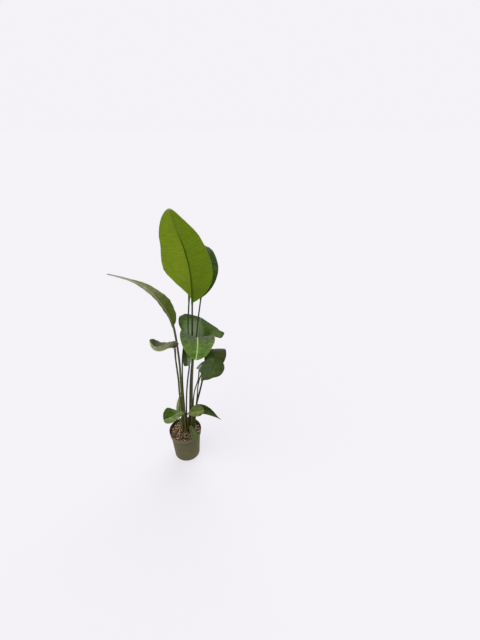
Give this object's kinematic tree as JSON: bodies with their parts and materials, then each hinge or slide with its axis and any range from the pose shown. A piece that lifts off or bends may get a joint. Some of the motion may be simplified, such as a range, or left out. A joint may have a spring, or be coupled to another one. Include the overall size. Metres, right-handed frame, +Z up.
{
  "type": "potted bird of paradise plant",
  "caption": "Young giant bird of paradise in a round grower's pot: paddle-shaped leaves on long stalks rising from potting mix, with small leaves around the crown.",
  "frame": {"origin": "middle of the pot's underside, on the surface that the pot stands on", "axes": "+Z up along the pot's axis; -Y towards the picture's camera; +X to the picture's right"},
  "size_m": [0.4255, 0.4161, 1.2073],
  "materials": {
    "leaf_dark": "satin",
    "leaf_bright": "satin",
    "pot_plastic": "matte",
    "potting_mix": "matte"
  },
  "bodies": {
    "root": {"pot": "pot_plastic", "potting_mix": "potting_mix", "leaf_tall_front": "leaf_bright", "leaf_tall_back": "leaf_dark", "leaf_new_rolled": "leaf_bright", "leaf_arching_left": "leaf_dark", "leaf_curled_left": "leaf_dark", "leaf_middle_front": "leaf_dark", "leaf_middle_back": "leaf_dark", "leaf_middle_drooping": "leaf_dark", "leaf_right_front": "leaf_dark", "leaf_right_back": "leaf_dark", "leaf_low_left": "leaf_dark", "leaf_low_upright": "leaf_bright", "leaf_low_right": "leaf_bright", "leaf_low_far_right": "leaf_dark", "leaf_low_over_rim": "leaf_dark"}
  },
  "joints": []
}
